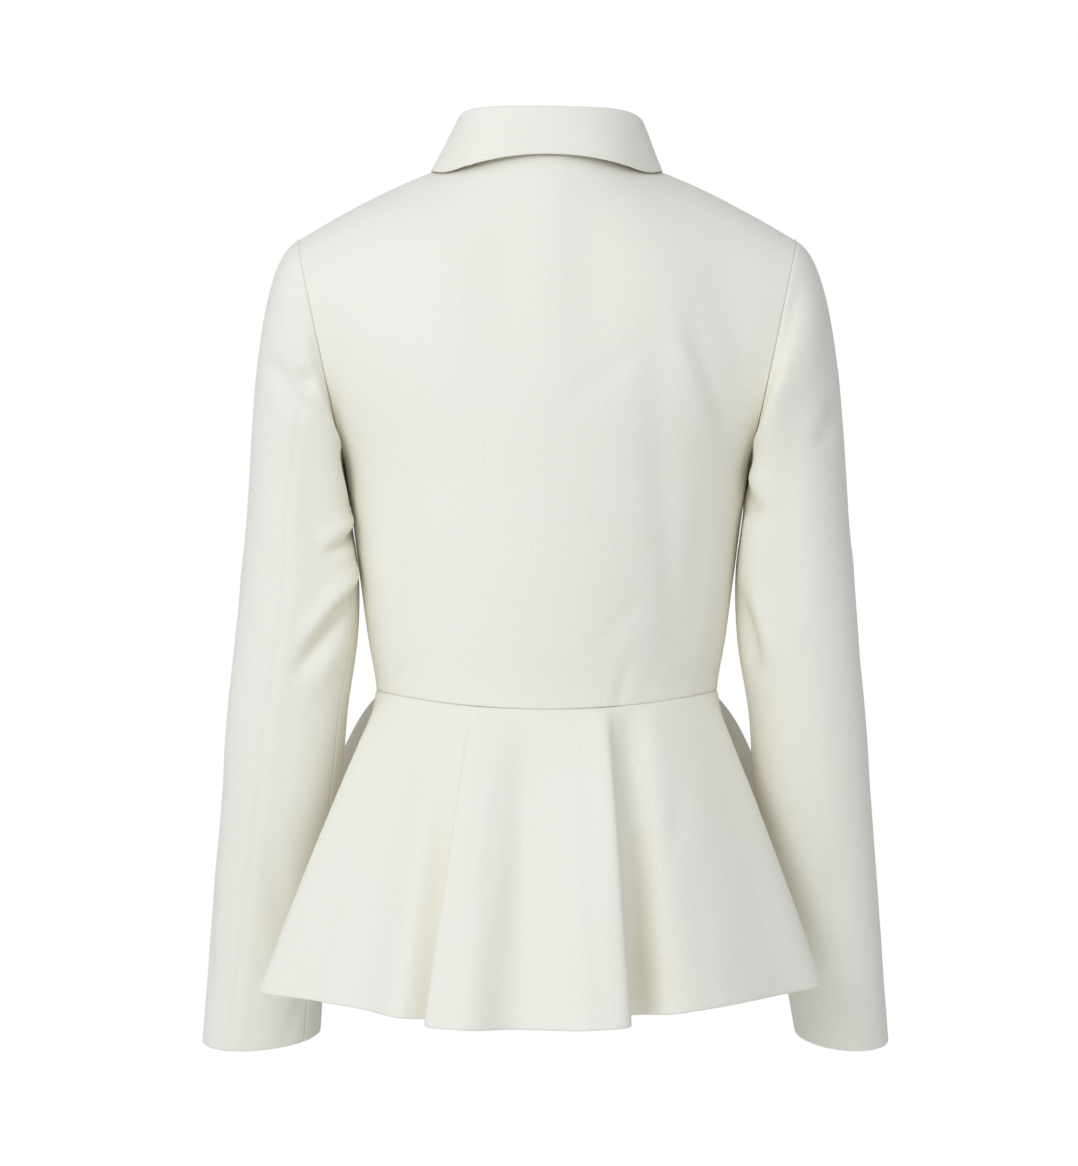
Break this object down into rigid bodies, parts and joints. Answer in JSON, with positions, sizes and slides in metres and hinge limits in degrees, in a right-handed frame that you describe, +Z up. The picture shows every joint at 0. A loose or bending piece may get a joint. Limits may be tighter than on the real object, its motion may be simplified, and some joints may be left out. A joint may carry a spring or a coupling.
{
  "type": "long-sleeved peplum shirt",
  "caption": "Fitted long-sleeved shirt with a turned-down collar, buttoned front, waist seam and flared peplum, in its worn form.",
  "frame": {"origin": "at the base of the wearer's neck, midway between the shoulder seams, inside the collar", "axes": "+Z up the body, +X to the wearer's right, +Y out of the buttoned front"},
  "size_m": [0.535, 0.3707, 0.7229],
  "materials": {
    "cloth": "matt ivory crepe",
    "button": "polished shell"
  },
  "bodies": {
    "root": {"back": "cloth", "front_left": "cloth", "front_right": "cloth", "sleeve_left": "cloth", "sleeve_right": "cloth", "collar_stand": "cloth", "collar_fall": "cloth", "peplum_back": "cloth", "peplum_front_left": "cloth", "peplum_front_right": "cloth", "button_1": "button", "button_2": "button", "button_3": "button", "button_4": "button", "button_5": "button", "button_6": "button", "button_7": "button"}
  },
  "joints": []
}
